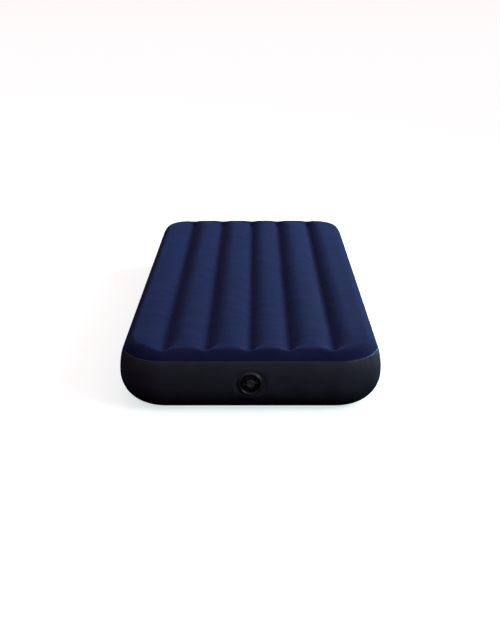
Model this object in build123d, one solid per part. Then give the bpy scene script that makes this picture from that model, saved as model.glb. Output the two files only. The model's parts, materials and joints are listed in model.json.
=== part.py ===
"""Flocked inflatable mattress, one person wide, with six lengthwise air channels and a recessed two-stage air
valve in its foot end. Millimetres, +Z up, the valve towards -Y, the origin on the ground under the middle.

The air chamber is three welded sheets: a flocked top sheet, a band-shaped side wall and a bottom sheet. Inside,
five fibre curtains between weld strips tie the top to the bottom, and they pull the lengthwise grooves in.
"""

import math
import os

from build123d import *

# The inflated chamber
WIDTH = 990.0
LENGTH = 1910.0
HEIGHT = 250.0
CORNER_RADIUS = 180.0  # in plan, where the side wall stands out furthest
BULGE_HEIGHT = 110.0  # where the side wall stands out furthest
TOP_SHOULDER = 60.0  # how far in the top edge's curve reaches
BOTTOM_SHOULDER = 100.0
TOP_GAUGE = 1.2  # film and flock together
WALL_GAUGE = 1.0
TOP_SEAM_HEIGHT = 207.0
BOTTOM_SEAM_HEIGHT = 20.0
LAP_WIDTH = 7.0  # height of the welded lap inside each seam
LAP_ROOT = 4.0  # how far a lap runs back behind its own sheet

# Channels and the curtains between them
WELD_PLACES = (-319.0, -162.0, -2.0, 142.0, 305.0)  # the X of each lengthwise weld line
CREST_REACH = 78.5  # from a weld line to the crests beside it
TOP_WELD_INSET = 72.0  # from each end of the chamber to the ends of its weld lines
BOTTOM_WELD_INSET = 115.0
WELD_HALF_WIDTH = 6.0
TOP_GROOVE_DEPTH = 30.0
TOP_CREST_HALF_WIDTH = 10.5  # the flat that is left along each crest
BOTTOM_GROOVE_DEPTH = 18.0
BOTTOM_CREST_HALF_WIDTH = 33.5
STRIP_THICKNESS = 1.0
CURTAIN_THICKNESS = 1.0
CURTAIN_END_GAP = 5.0
CURTAIN_HEM = 14.0
THREAD_GAP_WIDTH = 20.0
THREAD_GAP_PITCH = 24.0

# The valve, in its own frame: u to the right, v up the wall, w out of the wall
VALVE_HEIGHT = 124.0
DISH_DEPTH = 4.0
DISH_RADIUS = 48.0
FLANGE_RADIUS = 46.8
FLANGE_THICKNESS = 2.0
LIP_RADIUS = 42.0
LIP_TOP = 5.0
NECK_RADIUS = 38.2
NECK_BOTTOM = -18.0
BODY_RADIUS = 36.0
BODY_BORE_RADIUS = 33.6
BODY_TOP = 3.0
BODY_BOTTOM = -26.0
SEAT_BORE_RADIUS = 28.0
SEAT_TOP = -22.0
FIT_GAP = 0.1  # between fixed parts that fit round each other
STOPPER_RADIUS = 33.0
STOPPER_FACE = -2.5
STOPPER_PLATE = 2.5
STOPPER_BOTTOM = -21.8
STOPPER_WALL = 2.2
SEAL_HEIGHT = -13.0
SEAL_SECTION_RADIUS = 1.3
SEAL_RING_RADIUS = 32.1
BOSS_RADIUS = 12.6
BOSS_BOTTOM = -19.0
MOUTH_RADIUS = 10.6
MOUTH_BOTTOM = -8.0
NOZZLE_BORE_RADIUS = 10.0

# The inflation cap, its strap and the stopper's leash. Angles are about w, from u.
CAP_ANGLE = 14.0
CAP_RADIUS = 15.0
CAP_BOTTOM = -2.2
CAP_TOP = 0.9
CAP_DIMPLE_RADIUS = 7.0
CAP_DIMPLE_DEPTH = 1.2
PLUG_RADIUS = 10.45
PLUG_LAND_BOTTOM = -4.0
PLUG_TIP_RADIUS = 9.3
PLUG_BOTTOM = -7.5
HINGE_RADIUS = 21.5  # from the valve's axis to the cap's living hinge
HINGE_HEIGHT = -1.3
HINGE_GAP = 1.2
TAB_REACH = 28.5
TAB_WIDTH = 7.0
TAB_END_WIDTH = 15.0
TAB_THICKNESS = 1.6
LUG_WIDTH = 6.0
STRAP_THICKNESS = 1.0
STRAP_WIDTH = 3.4
STRAP_RADIUS = 23.5
STRAP_END_ANGLE = 62.0
STUD_RADIUS = 1.6
STUD_TOP = 0.4
EYE_RADIUS = 3.2
LEASH_RADIUS = 30.3
LEASH_WIDTH = 3.0
LEASH_THICKNESS = 1.0
LEASH_START_ANGLE = 57.0
LEASH_END_ANGLE = 160.0
LEASH_GAP = 0.4
ANCHOR_RADIUS = 39.0
ANCHOR_SIZE = 2.0

# The one-way flap at the inner end of the nozzle bore
FLAP_RADIUS = 11.8
FLAP_THICKNESS = 0.8
FLAP_GAP = 0.3
FLAP_HINGE = 13.2
FLAP_ANCHOR_TOP = 21.0
FLAP_WIDTH = 10.0


def side_outline(offset):
    """The side wall's curve on the XZ plane, from the flat bottom up to the flat top, moved in by an offset."""
    bottom = EllipticalCenterArc(
        (WIDTH / 2 - BOTTOM_SHOULDER, BULGE_HEIGHT),
        BOTTOM_SHOULDER - offset,
        BULGE_HEIGHT - offset,
        start_angle=270,
        arc_size=90,
    )
    top = EllipticalCenterArc(
        (WIDTH / 2 - TOP_SHOULDER, BULGE_HEIGHT),
        TOP_SHOULDER - offset,
        HEIGHT - BULGE_HEIGHT - offset,
        start_angle=0,
        arc_size=90,
    )
    return bottom, top


def side_section(outer, inner):
    """The closed section between two offsets of the side wall's curve, on the XZ plane."""
    bottom_out, top_out = side_outline(outer)
    bottom_in, top_in = side_outline(inner)
    bottom_end = Line(bottom_out @ 0, bottom_in @ 0)
    top_end = Line(top_out @ 1, top_in @ 1)
    return make_face([bottom_out, top_out, bottom_in, top_in, bottom_end, top_end])


def filled_section(offset):
    """The section from an offset of the side wall's curve in to where both sheets are flat."""
    bottom, top = side_outline(offset)
    inner_x = WIDTH / 2 - BOTTOM_SHOULDER - 20
    corners = [bottom @ 0, (inner_x, offset), (inner_x, HEIGHT - offset), top @ 1]
    return make_face([bottom, top, Polyline(*corners)])


def between(section, low, high):
    """The part of a section between two heights."""
    window = Pos(WIDTH / 2, (low + high) / 2) * Rectangle(WIDTH, high - low)
    return section & window


def round_the_edge(section):
    """Carries a section of the right-hand side once round the chamber's rounded rectangle."""
    upright = Plane.XZ * section
    run = LENGTH - 2 * CORNER_RADIUS
    side = extrude(upright, run / 2, dir=(0, 1, 0))
    axis = Axis((WIDTH / 2 - CORNER_RADIUS, 0, 0), (0, 0, 1))
    corner = Pos(0, run / 2, 0) * revolve(upright, axis, 90)
    end_section = Pos(0, run / 2, 0) * upright.rotate(axis, 90)
    end = extrude(end_section, WIDTH / 2 - CORNER_RADIUS, dir=(-1, 0, 0))
    quarter = side + corner + end
    half = quarter + mirror(quarter, Plane.YZ)
    return half + mirror(half, Plane.XZ)


def central_slab(inset, low, high):
    """A rounded block that fills the chamber's plan inside an inset."""
    plan = RectangleRounded(WIDTH - 2 * inset, LENGTH - 2 * inset, CORNER_RADIUS - inset)
    return Pos(0, 0, low) * extrude(plan, high - low)


def groove_cutter(depth, crest_half_width, gauge, reach, inset):
    """The hollow between two channels: round flanks down to a flat weld line, with a cone-like end at each end.

    It cuts down from the plane z = 0. A gauge above 0 gives the same hollow as seen from inside the sheet.
    """
    half = CREST_REACH
    near = half - WELD_HALF_WIDTH
    rise = (near**2 - crest_half_width**2 + depth**2) / (2 * depth)
    radius = math.hypot(crest_half_width, rise) - gauge
    centre = rise  # how far the channel's centre lies below the plane
    top = -gauge
    floor = -depth - gauge
    crest_x = half - math.sqrt(radius**2 - (centre + top) ** 2)
    weld_x = half - math.sqrt(radius**2 - (centre + floor) ** 2)
    middle_x = (crest_x + weld_x) / 2
    middle_z = -centre + math.sqrt(radius**2 - (half - middle_x) ** 2)
    flank = ThreePointArc((crest_x, top), (middle_x, middle_z), (weld_x, floor))
    rest = Polyline(flank @ 1, (0, floor), (0, reach), (crest_x, reach), flank @ 0)
    right_half = Plane.XZ * make_face([flank, rest])
    end = LENGTH / 2 - inset
    length = Pos(0, end, 0) * extrude(right_half, 2 * end, dir=(0, -1, 0))
    cone = revolve(right_half, Axis.Z, 360)
    return length + mirror(length, Plane.YZ) + Pos(0, end, 0) * cone + Pos(0, -end, 0) * cone


def cut_all(solid, cutter):
    """Cuts one groove at each groove place."""
    for x in WELD_PLACES:
        solid -= Pos(x, 0, 0) * cutter
    return solid


def make_top_sheet():
    """The flocked sheet: the shoulder above the seam, and the six channels."""
    reach = 10.0
    slab_inset, slab_bottom = 100.0, 190.0
    clear = 1.0

    def dome(gauge, drop):
        edge = between(filled_section(gauge), TOP_SEAM_HEIGHT - drop, HEIGHT)
        return round_the_edge(edge) + central_slab(slab_inset - drop, slab_bottom - drop, HEIGHT - gauge)

    def cutter(gauge):
        hollow = groove_cutter(TOP_GROOVE_DEPTH, TOP_CREST_HALF_WIDTH, gauge, reach, TOP_WELD_INSET)
        return Pos(0, 0, HEIGHT) * hollow

    return cut_all(dome(0, 0), cutter(0)) - cut_all(dome(TOP_GAUGE, clear), cutter(TOP_GAUGE))


def make_bottom_sheet():
    """The plain sheet underneath, with shallower channels that are pressed flat where they stand."""
    reach = 10.0
    slab_inset, slab_top = 105.0, 50.0
    clear = 1.0

    def tray(gauge, rise):
        edge = between(filled_section(gauge), 0, BOTTOM_SEAM_HEIGHT + rise)
        return round_the_edge(edge) + central_slab(slab_inset - rise, gauge, slab_top + rise)

    def cutter(gauge):
        hollow = groove_cutter(BOTTOM_GROOVE_DEPTH, BOTTOM_CREST_HALF_WIDTH, gauge, reach, BOTTOM_WELD_INSET)
        return mirror(hollow, Plane.XY)

    return cut_all(tray(0, 0), cutter(0)) - cut_all(tray(WALL_GAUGE, clear), cutter(WALL_GAUGE))


def valve_plane():
    """The valve's frame: its origin is the flange's back, at the bottom of the dish in the foot-end wall."""
    rise = HEIGHT - BULGE_HEIGHT
    above = VALVE_HEIGHT - BULGE_HEIGHT
    sine = above / rise
    inset = TOP_SHOULDER * (1 - math.sqrt(1 - sine**2))
    tilt = math.atan2(sine / rise, math.sqrt(1 - sine**2) / TOP_SHOULDER)
    outward = Vector(0, -math.cos(tilt), math.sin(tilt))
    skin = Vector(0, inset - LENGTH / 2, VALVE_HEIGHT)
    return Plane(origin=skin - outward * DISH_DEPTH, x_dir=(1, 0, 0), z_dir=outward)


def disc(radius, low, high):
    """A round block about w between two heights."""
    return Pos(0, 0, low) * extrude(Circle(radius), high - low)


def turned(points):
    """A solid turned about w from its half section, given as (radius, height) points."""
    return revolve(Plane.XZ * make_face(Polyline(*points, close=True)), Axis.Z, 360)


def make_side_wall(valve):
    """The band round the edge, with a lap inside each seam and a round dish that the valve is welded into."""
    band = between(side_section(0, WALL_GAUGE), BOTTOM_SEAM_HEIGHT, TOP_SEAM_HEIGHT)
    top_lap = between(
        side_section(TOP_GAUGE, TOP_GAUGE + WALL_GAUGE), TOP_SEAM_HEIGHT - LAP_ROOT, TOP_SEAM_HEIGHT + LAP_WIDTH
    )
    # The laps start where the band ends, so the band is thickened inwards over the root of each.
    root_top = between(side_section(WALL_GAUGE, TOP_GAUGE), TOP_SEAM_HEIGHT - LAP_ROOT, TOP_SEAM_HEIGHT)
    bottom_lap = between(
        side_section(WALL_GAUGE, 2 * WALL_GAUGE), BOTTOM_SEAM_HEIGHT - LAP_WIDTH, BOTTOM_SEAM_HEIGHT + LAP_ROOT
    )
    wall = round_the_edge(band + top_lap + root_top + bottom_lap)
    opening = valve * disc(DISH_RADIUS, -40, 40)
    end_run = 2 * DISH_RADIUS + 20
    chamber = Pos(-end_run / 2, 0, 0) * extrude(
        Plane.YZ * (Pos(-LENGTH / 2 + WIDTH / 2, 0) * mirror(filled_section(0), Plane.YZ)), end_run
    )
    ring = disc(DISH_RADIUS, -5, 20) - disc(DISH_RADIUS - WALL_GAUGE, -10, 25)
    foot = disc(DISH_RADIUS, -6, 0) - disc(DISH_RADIUS - WALL_GAUGE, -10, 5)
    floor = disc(DISH_RADIUS, -WALL_GAUGE, 0) - disc(NECK_RADIUS + FIT_GAP, -5, 5)
    return wall - opening + (valve * ring & chamber) + valve * (foot + floor)


def make_weld_strip(x, bottom, inset):
    """A strip that a curtain hangs on, welded along the inside of a groove."""
    plan = SlotOverall(LENGTH - 2 * inset, 2 * WELD_HALF_WIDTH, rotation=90)
    return Pos(x, 0, bottom) * extrude(plan, STRIP_THICKNESS)


def make_curtain(x, low, high):
    """A curtain of thread bundles between two hems, which holds the top and bottom sheets a set way apart."""
    run = LENGTH - 2 * BOTTOM_WELD_INSET - 2 * CURTAIN_END_GAP
    height = high - low
    gaps = int((run - 2 * CURTAIN_HEM) // THREAD_GAP_PITCH)
    window = GridLocations(THREAD_GAP_PITCH, 1, gaps, 1) * Rectangle(THREAD_GAP_WIDTH, height - 2 * CURTAIN_HEM)
    sheet = Rectangle(run, height) - window
    upright = Plane.YZ * sheet
    solid = extrude(upright, CURTAIN_THICKNESS, dir=(1, 0, 0))
    return Pos(x - CURTAIN_THICKNESS / 2, 0, (low + high) / 2) * solid


def make_valve_flange():
    """The soft ring welded on the dish: a flat skirt, a rounded lip, and a neck that grips the valve's body."""
    bore = BODY_RADIUS + FIT_GAP
    lip_middle = (bore + LIP_RADIUS) / 2
    lip = ThreePointArc((LIP_RADIUS, FLANGE_THICKNESS), (lip_middle + 1, LIP_TOP), (bore, BODY_TOP + 1))
    rest = Polyline(
        lip @ 1,
        (bore, NECK_BOTTOM),
        (NECK_RADIUS, NECK_BOTTOM),
        (NECK_RADIUS, 0),
        (FLANGE_RADIUS, 0),
        (FLANGE_RADIUS, FLANGE_THICKNESS - 1),
        (FLANGE_RADIUS - 1, FLANGE_THICKNESS),
        lip @ 0,
    )
    return revolve(Plane.XZ * make_face([lip, rest]), Axis.Z, 360)


def make_valve_body():
    """The stiff cup that the stopper is pushed into, with an inner ledge as its end stop."""
    return turned(
        [
            (BODY_BORE_RADIUS + 1, BODY_TOP),
            (BODY_RADIUS, BODY_TOP),
            (BODY_RADIUS, BODY_BOTTOM),
            (SEAT_BORE_RADIUS, BODY_BOTTOM),
            (SEAT_BORE_RADIUS, SEAT_TOP),
            (BODY_BORE_RADIUS, SEAT_TOP),
            (BODY_BORE_RADIUS, BODY_TOP - 1),
        ]
    )


def make_stopper():
    """The large deflation stopper: a plate, a skirt with a seal groove, and the boss with the nozzle bore."""
    skirt_in = STOPPER_RADIUS - STOPPER_WALL
    back = STOPPER_FACE - STOPPER_PLATE
    shell = turned(
        [
            (MOUTH_RADIUS, STOPPER_FACE),
            (STOPPER_RADIUS - 1, STOPPER_FACE),
            (STOPPER_RADIUS, STOPPER_FACE - 1),
            (STOPPER_RADIUS, STOPPER_BOTTOM + 1),
            (STOPPER_RADIUS - 1, STOPPER_BOTTOM),
            (skirt_in, STOPPER_BOTTOM),
            (skirt_in, back),
            (BOSS_RADIUS, back),
            (BOSS_RADIUS, BOSS_BOTTOM),
            (NOZZLE_BORE_RADIUS, BOSS_BOTTOM),
            (NOZZLE_BORE_RADIUS, MOUTH_BOTTOM),
            (MOUTH_RADIUS, MOUTH_BOTTOM),
        ]
    )
    groove = Pos(0, 0, SEAL_HEIGHT) * Torus(SEAL_RING_RADIUS, SEAL_SECTION_RADIUS)
    rib = Pos(0, 0, back - 5) * Box(skirt_in - BOSS_RADIUS + 1, 1.6, 10)
    for place in PolarLocations((skirt_in + BOSS_RADIUS) / 2, 4, start_angle=45):
        shell += place * rib
    ledge_height = (BOSS_BOTTOM + back) / 2
    ledge = Pos(0, (BOSS_RADIUS + FLAP_ANCHOR_TOP) / 2, ledge_height) * Box(
        FLAP_WIDTH, FLAP_ANCHOR_TOP - BOSS_RADIUS + 2, back - BOSS_BOTTOM
    )
    hollow = disc(BOSS_RADIUS - 0.5, -30, 0)
    return shell + (ledge - hollow) - groove


def make_seal():
    """The round ring that seals the stopper's skirt."""
    return Pos(0, 0, SEAL_HEIGHT) * Torus(SEAL_RING_RADIUS, SEAL_SECTION_RADIUS)


def make_cap():
    """The small inflation cap: a plug under a dished button, a flared pull tab, and a lug up to the living hinge."""
    body = turned(
        [
            (0, CAP_TOP - CAP_DIMPLE_DEPTH),
            (CAP_DIMPLE_RADIUS - 1, CAP_TOP - CAP_DIMPLE_DEPTH),
            (CAP_DIMPLE_RADIUS, CAP_TOP),
            (CAP_RADIUS - 1.2, CAP_TOP),
            (CAP_RADIUS, CAP_TOP - 1.2),
            (CAP_RADIUS, CAP_BOTTOM),
            (PLUG_RADIUS, CAP_BOTTOM),
            (PLUG_RADIUS, PLUG_LAND_BOTTOM),
            (PLUG_TIP_RADIUS, PLUG_BOTTOM),
            (0, PLUG_BOTTOM),
        ]
    )
    root = CAP_RADIUS - 3
    tab_plan = make_face(
        Polyline(
            (root, -TAB_WIDTH / 2),
            (TAB_REACH - 7, -TAB_WIDTH / 2),
            (TAB_REACH - 2, -TAB_END_WIDTH / 2),
            (TAB_REACH, -TAB_END_WIDTH / 2 + 3),
            (TAB_REACH, TAB_END_WIDTH / 2 - 3),
            (TAB_REACH - 2, TAB_END_WIDTH / 2),
            (TAB_REACH - 7, TAB_WIDTH / 2),
            (root, TAB_WIDTH / 2),
            close=True,
        )
    )
    tab = Pos(0, 0, CAP_BOTTOM) * extrude(tab_plan, TAB_THICKNESS)
    lug_end = HINGE_RADIUS - HINGE_GAP
    lug = Pos(-(root + lug_end) / 2, 0, CAP_BOTTOM + STRAP_THICKNESS / 2) * Box(
        lug_end - root, LUG_WIDTH, STRAP_THICKNESS
    )
    return Rotation(0, 0, CAP_ANGLE) * (body + tab + lug)


def flat_arc(radius, width, start_angle, end_angle):
    """A plan of a strap that runs round the valve's axis between two angles."""
    turn = end_angle - start_angle
    inner = CenterArc((0, 0), radius - width / 2, start_angle, turn)
    outer = CenterArc((0, 0), radius + width / 2, start_angle, turn)
    return make_face([inner, outer, Line(inner @ 0, outer @ 0), Line(inner @ 1, outer @ 1)])


def around(radius, angle):
    """A place on a circle about the valve's axis."""
    return Pos(radius * math.cos(math.radians(angle)), radius * math.sin(math.radians(angle)), 0)


def make_cap_strap():
    """The strap that keeps the cap: from its eye round the stud, over the top, to the cap's living hinge."""
    hinge_angle = 180 + CAP_ANGLE
    plan = flat_arc(STRAP_RADIUS, STRAP_WIDTH, STRAP_END_ANGLE, hinge_angle)
    pad = around(STRAP_RADIUS + 0.8, hinge_angle) * Rot(0, 0, hinge_angle) * Rectangle(3.2, LUG_WIDTH + 2)
    eye = around(STRAP_RADIUS, STRAP_END_ANGLE) * Circle(EYE_RADIUS)
    hole = around(STRAP_RADIUS, STRAP_END_ANGLE) * Circle(STUD_RADIUS + FIT_GAP)
    return Pos(0, 0, STOPPER_FACE) * extrude(plan + pad + eye - hole, STRAP_THICKNESS)


def make_strap_stud():
    """The moulded stud that holds the cap strap's eye on the stopper."""
    post = disc(STUD_RADIUS, STOPPER_FACE, STOPPER_FACE + STRAP_THICKNESS + FIT_GAP)
    head = disc(STUD_RADIUS + 0.8, STOPPER_FACE + STRAP_THICKNESS + FIT_GAP, STUD_TOP)
    return around(STRAP_RADIUS, STRAP_END_ANGLE) * (post + head)


def make_leash():
    """The stopper's leash: round the well beside the wall, then up over the flange's lip to its anchor."""
    low = STOPPER_FACE
    high = low + LEASH_THICKNESS
    plan = flat_arc(LEASH_RADIUS, LEASH_WIDTH, LEASH_START_ANGLE, LEASH_END_ANGLE)
    run = Pos(0, 0, low) * extrude(plan, LEASH_THICKNESS)
    foot = around(LEASH_RADIUS, LEASH_END_ANGLE) * disc(LEASH_WIDTH / 2 + 0.6, low, high + 0.8)
    inner = LEASH_RADIUS - LEASH_WIDTH / 2
    wall_gap = BODY_BORE_RADIUS - LEASH_GAP - LEASH_THICKNESS
    over = LIP_TOP + LEASH_GAP
    end = ANCHOR_RADIUS + ANCHOR_SIZE + LEASH_GAP
    hook_plan = make_face(
        Polyline(
            (inner, low),
            (wall_gap + LEASH_THICKNESS, low),
            (wall_gap + LEASH_THICKNESS, over),
            (end, over),
            (end, over + LEASH_THICKNESS),
            (wall_gap, over + LEASH_THICKNESS),
            (wall_gap, high),
            (inner, high),
            close=True,
        )
    )
    hook = extrude(Plane.XZ * hook_plan, 2.5, both=True)
    eye = Pos(ANCHOR_RADIUS, 0, 0) * disc(ANCHOR_SIZE - 0.4, over - 1, over + LEASH_THICKNESS + 1)
    return run + foot + Rotation(0, 0, LEASH_START_ANGLE + 3) * (hook - eye)


def make_leash_anchor():
    """The button on the flange's lip that the leash's eye is pressed over."""
    radius = ANCHOR_SIZE - 0.4 - LEASH_GAP / 2
    post = Pos(ANCHOR_RADIUS, 0, 0) * disc(radius, LIP_TOP - 2, LIP_TOP + LEASH_GAP + LEASH_THICKNESS + 0.6)
    return Rotation(0, 0, LEASH_START_ANGLE + 3) * (post - make_valve_flange())


def flap_height():
    """The height of the flap's outer face, just clear of the boss."""
    return BOSS_BOTTOM - FLAP_GAP


def make_flap():
    """The one-way flap under the nozzle bore, with a tongue up to its living hinge."""
    plan = Circle(FLAP_RADIUS) + Pos(0, FLAP_HINGE / 2 - 0.3) * Rectangle(FLAP_WIDTH, FLAP_HINGE - 0.6)
    return Pos(0, 0, flap_height() - FLAP_THICKNESS) * extrude(plan, FLAP_THICKNESS)


def make_flap_anchor():
    """The fixed end of the flap's tongue, with the rivet that holds it on the stopper's ledge."""
    length = FLAP_ANCHOR_TOP - FLAP_HINGE - 0.6
    middle = Pos(0, FLAP_ANCHOR_TOP - length / 2, 0)
    plan = Rectangle(FLAP_WIDTH, length)
    tongue = middle * Pos(0, 0, BOSS_BOTTOM - FLAP_THICKNESS) * extrude(plan, FLAP_THICKNESS)
    rivet = middle * disc(2.0, BOSS_BOTTOM - FLAP_THICKNESS - 1.2, BOSS_BOTTOM - FLAP_THICKNESS)
    return tongue + rivet


def make_parts():
    """Every piece by its node name, in place."""
    valve = valve_plane()
    top_inside = HEIGHT - TOP_GROOVE_DEPTH - TOP_GAUGE
    bottom_inside = BOTTOM_GROOVE_DEPTH + WALL_GAUGE
    parts = {
        "top_sheet": make_top_sheet(),
        "side_wall": make_side_wall(valve),
        "bottom_sheet": make_bottom_sheet(),
    }
    for number, x in enumerate(WELD_PLACES, start=1):
        low = bottom_inside + STRIP_THICKNESS
        high = top_inside - STRIP_THICKNESS
        parts[f"top_weld_strip_{number}"] = make_weld_strip(x, high, TOP_WELD_INSET)
        parts[f"fibre_curtain_{number}"] = make_curtain(x, low, high)
        parts[f"bottom_weld_strip_{number}"] = make_weld_strip(x, bottom_inside, BOTTOM_WELD_INSET)
    in_valve = {
        "valve_flange": make_valve_flange(),
        "valve_body": make_valve_body(),
        "leash_anchor": make_leash_anchor(),
        "deflation_stopper": make_stopper(),
        "stopper_seal": make_seal(),
        "stopper_leash": make_leash(),
        "cap_strap": make_cap_strap(),
        "strap_stud": make_strap_stud(),
        "flap_anchor": make_flap_anchor(),
        "inflation_cap": make_cap(),
        "check_flap": make_flap(),
    }
    parts.update({name: valve * piece for name, piece in in_valve.items()})
    return parts


def main():
    os.makedirs("parts", exist_ok=True)
    for name, piece in make_parts().items():
        export_step(piece, f"parts/{name}.step")


if __name__ == "__main__":
    main()
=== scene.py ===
"""The looks of a flocked inflatable mattress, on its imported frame. Metres, +Z up, the valve towards -Y.

The three sheets are solved as skins pulled in along their weld lines. The valve is turned and swept from
small sections, in a frame of its own: u to the right, v up the wall, w out of the wall.
"""

import json
import math

import bpy
import numpy as np
from mathutils import Matrix, Vector


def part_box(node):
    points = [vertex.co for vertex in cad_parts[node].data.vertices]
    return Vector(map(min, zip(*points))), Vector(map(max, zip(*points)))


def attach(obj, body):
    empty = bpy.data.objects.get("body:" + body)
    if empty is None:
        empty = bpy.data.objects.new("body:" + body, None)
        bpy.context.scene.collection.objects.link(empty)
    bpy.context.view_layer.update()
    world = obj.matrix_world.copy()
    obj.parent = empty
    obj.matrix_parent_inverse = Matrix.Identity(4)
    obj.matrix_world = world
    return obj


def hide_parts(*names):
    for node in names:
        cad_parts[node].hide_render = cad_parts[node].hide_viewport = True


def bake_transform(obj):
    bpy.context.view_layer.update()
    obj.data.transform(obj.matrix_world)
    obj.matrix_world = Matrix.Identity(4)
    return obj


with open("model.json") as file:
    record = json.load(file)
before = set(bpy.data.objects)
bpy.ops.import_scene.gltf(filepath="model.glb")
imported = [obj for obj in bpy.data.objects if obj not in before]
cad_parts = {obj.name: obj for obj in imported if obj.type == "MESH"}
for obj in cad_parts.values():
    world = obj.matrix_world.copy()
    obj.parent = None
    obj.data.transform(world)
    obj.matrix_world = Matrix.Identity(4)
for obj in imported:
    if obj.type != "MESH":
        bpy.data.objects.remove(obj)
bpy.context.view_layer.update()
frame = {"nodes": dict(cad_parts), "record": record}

MM = 0.001

# The chamber: its envelope is a rounded rectangle in plan, with an elliptical shoulder above and below
WALL_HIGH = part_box("side_wall")[1]
COVER_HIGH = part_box("top_sheet")[1]
HALF_WIDTH = WALL_HIGH.x
HALF_LENGTH = WALL_HIGH.y
HEIGHT = COVER_HIGH.z
CORNER_RADIUS = 180 * MM
BULGE_HEIGHT = 110 * MM
TOP_SHOULDER = 60 * MM
BOTTOM_SHOULDER = 100 * MM
TOP_SEAM_HEIGHT = 207 * MM
BOTTOM_SEAM_HEIGHT = 20 * MM
COVER_GAUGE = 1.2 * MM
FILM_GAUGE = 1.0 * MM

# The weld lines
GROOVE_PLACES = [x * MM for x in (-319, -162, -2, 142, 305)]
CREST_REACH = 78.5 * MM
WELD_HALF_WIDTH = 6 * MM
TOP_WELD_END = HALF_LENGTH - 72 * MM
BOTTOM_WELD_END = HALF_LENGTH - 115 * MM
DISH_DEPTH = 4 * MM
TOP_GROOVE_DEPTH = 30 * MM
BOTTOM_GROOVE_DEPTH = 18 * MM

# How far the crests slope down towards the ends, and over what length
END_FALL = 9 * MM
END_REACH = 170 * MM

# The light
SKY_COLOUR = (1.0, 0.72, 0.75, 1)
SKY_TOP = 0.66
KEY_COLOUR = (0.62, 0.93, 1.0)
KEY_POWER = 240
KEY_PLACE = (3.4, 2.2, 1.6)
FILL_COLOUR = (0.75, 0.95, 1.0)
FILL_POWER = 62
FILL_PLACE = (2.8, -2.2, 2.2)
LIGHT_TARGET = (0, 0, 0.1)
SOFTBOX_SIZE = (1.4, 1.4)
FLOOR_TINT = (0.9, 1.0, 0.99, 1)
FLOOR_GLOW = 0.70


# Small mesh tools


def mesh_object(name, points, faces, material):
    """A smooth-shaded object from an array of points and lists of faces."""
    mesh = bpy.data.meshes.new(name)
    mesh.from_pydata(np.asarray(points, float).tolist(), [], [list(map(int, f)) for f in faces])
    mesh.materials.append(material)
    mesh.polygons.foreach_set("use_smooth", np.ones(len(mesh.polygons), bool))
    mesh.update()
    made = bpy.data.objects.new(name, mesh)
    bpy.context.scene.collection.objects.link(made)
    return made


def grid_faces(rows, columns, wrap=False):
    """The quads of a grid of points, which goes round on itself across its columns if wrap is set."""
    steps_across = columns if wrap else columns - 1
    row, column = np.meshgrid(np.arange(rows - 1), np.arange(steps_across), indexing="ij")
    right = (column + 1) % columns
    near, far = row * columns, (row + 1) * columns
    corners = [near + column, near + right, far + right, far + column]
    return np.stack(corners, -1).reshape(-1, 4)


def vertex_normals(points, quads):
    """Unit normals, the mean of the quads round each point."""
    across = points[quads[:, 2]] - points[quads[:, 0]]
    other = points[quads[:, 3]] - points[quads[:, 1]]
    normal = np.cross(across, other)
    total = np.zeros_like(points)
    for corner in range(4):
        np.add.at(total, quads[:, corner], normal)
    return total / np.maximum(np.linalg.norm(total, axis=1), 1e-12)[:, None]


def thickened(points, quads, gauge):
    """A closed sheet: the quads, a copy of them a gauge further in, and a strip round each open edge."""
    count = len(points)
    inner = points - vertex_normals(points, quads) * gauge
    starts = quads.ravel()
    ends = np.roll(quads, -1, axis=1).ravel()
    forward = starts * count + ends
    backward = ends * count + starts
    open_edge = ~np.isin(forward, backward)
    a, b = starts[open_edge], ends[open_edge]
    rim = np.stack([b, a, a + count, b + count], -1)
    return np.vstack([points, inner]), np.vstack([quads, quads[:, ::-1] + count, rim])


def ramp(value, low, high):
    """A smooth step from 0 at low to 1 at high."""
    t = np.clip((value - low) / (high - low), 0, 1)
    return t * t * (3 - 2 * t)


def waves(value, seed, longest, shortest, count=9):
    """A smooth irregular wave along one length, from about -1 to 1."""
    rng = np.random.default_rng(seed)
    lengths = np.exp(rng.uniform(math.log(shortest), math.log(longest), count))
    phases = rng.uniform(0, 2 * math.pi, count)
    total = sum(np.sin(2 * math.pi * value / length + phase) for length, phase in zip(lengths, phases))
    return total / math.sqrt(count / 2) / 1.6


def spaced(start, end, count, ends=0.0):
    """Values from start to end, closer together towards both ends as ends goes from 0 to 1."""
    t = np.linspace(0, 1, count + 1)
    bunched = (1 - np.cos(math.pi * t)) / 2
    return start + (end - start) * (t * (1 - ends) + bunched * ends)


# The envelope


def inset_at(x, y):
    """How far in from the widest line a place in plan is."""
    past_x = np.abs(x) - (HALF_WIDTH - CORNER_RADIUS)
    past_y = np.abs(y) - (HALF_LENGTH - CORNER_RADIUS)
    round_corner = CORNER_RADIUS - np.hypot(np.maximum(past_x, 0), np.maximum(past_y, 0))
    straight = CORNER_RADIUS - np.maximum(past_x, past_y)
    return np.where((past_x > 0) & (past_y > 0), round_corner, straight)


def shoulder_height(inset, reach, rise):
    """How far the envelope stands above or below its widest line at an inset."""
    t = np.clip((reach - inset) / reach, 0, 1)
    return rise * np.sqrt(1 - t * t)


def seam_inset(height, reach, rise):
    """The inset at which the envelope is that far above or below its widest line."""
    return reach * (1 - math.sqrt(1 - (height / rise) ** 2))


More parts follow.
